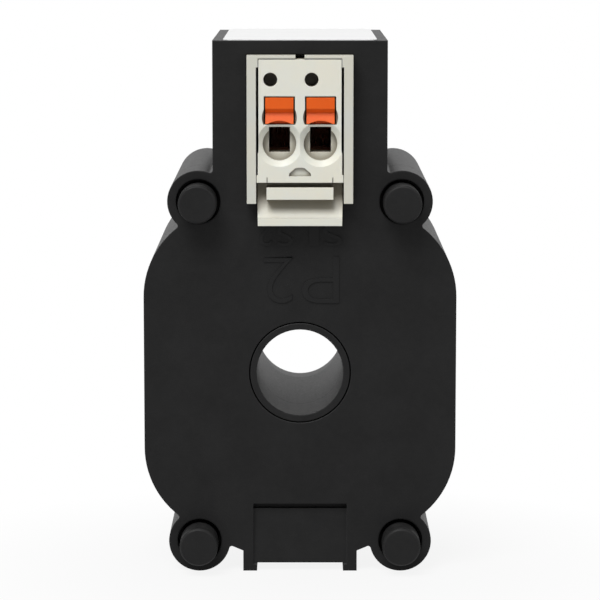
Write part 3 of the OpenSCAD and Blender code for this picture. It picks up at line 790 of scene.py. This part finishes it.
class TRANSFORMER_OT_stage(bpy.types.Operator):
    """Set up the plain floor, the soft lamps, the room light and the camera"""
    bl_idname = "transformer.stage"
    bl_label = "Stage"

    def execute(self, context):
        settings = context.scene.transformer_stage
        self.lay_floor(settings)
        self.light_room(context.scene, settings)
        for name, place, aim, side, power in LAMPS:
            self.hang_lamp(name, place, aim, side, power)
        self.set_camera(context.scene, settings)
        return {"FINISHED"}

    def lay_floor(self, settings):
        """Large plain floor at the foot rails."""
        bm = bmesh.new()
        bmesh.ops.create_grid(bm, x_segments=4, y_segments=4, size=FLOOR_HALF_WIDTH)
        bmesh.ops.translate(bm, vec=(0, 0, FLOOR_Z), verts=bm.verts)
        mesh = bpy.data.meshes.new("studio_floor")
        bm.to_mesh(mesh)
        bm.free()
        material, tree, shader = start_material("pale studio floor", settings.floor_colour)
        shader.inputs["Base Color"].default_value = (*settings.floor_colour, 1.0)
        shader.inputs["Roughness"].default_value = 0.8
        shader.inputs["Specular IOR Level"].default_value = 0.1
        seen = add_node(tree, "ShaderNodeLightPath", (200, 400))
        either = math_node(tree, "MAXIMUM", seen.outputs["Is Camera Ray"],
                           seen.outputs["Is Glossy Ray"], place=(400, 400))
        coords = add_node(tree, "ShaderNodeTexCoord", (-400, 200))
        away = add_node(tree, "ShaderNodeVectorMath", (-200, 200), operation="LENGTH")
        tree.links.new(coords.outputs["Object"], away.inputs[0])
        fade = map_range(tree, away.outputs["Value"], WHITE_FLOOR_START, WHITE_FLOOR_END,
                         WHITE_SHARE_AT_OBJECT, 1.0, (0, 200))
        share = math_node(tree, "MULTIPLY", either, fade, place=(600, 400))
        white = add_node(tree, "ShaderNodeEmission", (600, 200), Strength=1.0)
        white.inputs["Color"].default_value = (1.0, 1.0, 1.0, 1.0)
        both = add_node(tree, "ShaderNodeMixShader", (900, 200))
        tree.links.new(share, both.inputs[0])
        tree.links.new(shader.outputs[0], both.inputs[1])
        tree.links.new(white.outputs[0], both.inputs[2])
        tree.links.new(both.outputs[0], tree.nodes["Material Output"].inputs["Surface"])
        mesh.materials.append(material)
        floor = bpy.data.objects.new("studio_floor", mesh)
        bpy.context.scene.collection.objects.link(floor)

    def light_room(self, scene, settings):
        """Even room light, shown white to the camera and in reflections."""
        world = bpy.data.worlds.new("studio room")
        world.use_nodes = True
        scene.world = world
        tree = world.node_tree
        background = tree.nodes["Background"]
        background.inputs["Color"].default_value = (1.0, 1.0, 1.0, 1.0)
        background.inputs["Strength"].default_value = settings.room_level
        white = add_node(tree, "ShaderNodeBackground", (0, -200), Strength=1.0)
        white.inputs["Color"].default_value = (1.0, 1.0, 1.0, 1.0)
        seen = add_node(tree, "ShaderNodeLightPath", (-400, 300))
        first = math_node(tree, "MAXIMUM", seen.outputs["Is Camera Ray"],
                          seen.outputs["Is Glossy Ray"], place=(-200, 300))
        either = math_node(tree, "MAXIMUM", first, seen.outputs["Is Transmission Ray"],
                           place=(0, 300))
        both = add_node(tree, "ShaderNodeMixShader", (250, 100))
        tree.links.new(either, both.inputs[0])
        tree.links.new(background.outputs[0], both.inputs[1])
        tree.links.new(white.outputs[0], both.inputs[2])
        tree.links.new(both.outputs[0], tree.nodes["World Output"].inputs["Surface"])

    def hang_lamp(self, name, place, aim, side, power):
        """Soft square lamp at place, turned towards aim."""
        lamp = bpy.data.lights.new(name, "AREA")
        lamp.shape = "RECTANGLE"
        lamp.size = side
        lamp.size_y = side
        lamp.energy = power
        carrier = bpy.data.objects.new(name, lamp)
        carrier.location = place
        direction = Vector(aim) - Vector(place)
        carrier.rotation_euler = direction.to_track_quat("-Z", "Y").to_euler()
        bpy.context.scene.collection.objects.link(carrier)

    def set_camera(self, scene, settings):
        """Camera straight on the connector side, slightly from above."""
        data = bpy.data.cameras.new("camera")
        data.lens = settings.lens
        data.sensor_width = SENSOR_WIDTH
        data.shift_y = CAMERA_SHIFT_Y
        data.clip_start = 0.01
        data.clip_end = 20.0
        camera = bpy.data.objects.new("camera", data)
        camera.location = CAMERA_PLACE
        camera.rotation_euler = (math.pi / 2 - settings.camera_tilt, 0.0, 0.0)
        scene.collection.objects.link(camera)
        scene.camera = camera
        scene.view_settings.view_transform = "Standard"


class TRANSFORMER_PT_panel(bpy.types.Panel):
    """Settings and build steps of the current transformer"""
    bl_label = "Current transformer"
    bl_idname = "TRANSFORMER_PT_panel"
    bl_space_type = "VIEW_3D"
    bl_region_type = "UI"
    bl_category = "Transformer"

    def draw(self, context):
        layout = self.layout
        for group in (context.scene.transformer_housing, context.scene.transformer_marks,
                      context.scene.transformer_connector, context.scene.transformer_stage):
            box = layout.box()
            for key in group.bl_rna.properties.keys():
                if key not in {"rna_type", "name"}:
                    box.prop(group, key)
        for operator in OPERATORS:
            layout.operator(operator.bl_idname)


OPERATORS = (
    TRANSFORMER_OT_stage,
    TRANSFORMER_OT_housing,
    TRANSFORMER_OT_label,
    TRANSFORMER_OT_marks,
    TRANSFORMER_OT_coil,
    TRANSFORMER_OT_leads,
    TRANSFORMER_OT_connector,
    TRANSFORMER_OT_pushers,
    TRANSFORMER_OT_clamps,
)
SETTINGS = (
    TransformerHousingSettings,
    TransformerMarkSettings,
    TransformerConnectorSettings,
    TransformerStageSettings,
)
CLASSES = SETTINGS + OPERATORS + (TRANSFORMER_PT_panel,)


def register():
    for cls in CLASSES:
        bpy.utils.register_class(cls)
    scene = bpy.types.Scene
    scene.transformer_housing = PointerProperty(type=TransformerHousingSettings)
    scene.transformer_marks = PointerProperty(type=TransformerMarkSettings)
    scene.transformer_connector = PointerProperty(type=TransformerConnectorSettings)
    scene.transformer_stage = PointerProperty(type=TransformerStageSettings)


def unregister():
    scene = bpy.types.Scene
    del scene.transformer_stage
    del scene.transformer_connector
    del scene.transformer_marks
    del scene.transformer_housing
    for cls in reversed(CLASSES):
        bpy.utils.unregister_class(cls)


def main():
    register()
    bpy.ops.transformer.stage()
    bpy.ops.transformer.housing()
    bpy.ops.transformer.label()
    bpy.ops.transformer.marks()
    bpy.ops.transformer.coil()
    bpy.ops.transformer.leads()
    bpy.ops.transformer.connector()
    bpy.ops.transformer.pushers()
    bpy.ops.transformer.clamps()


if __name__ == "__main__":
    main()
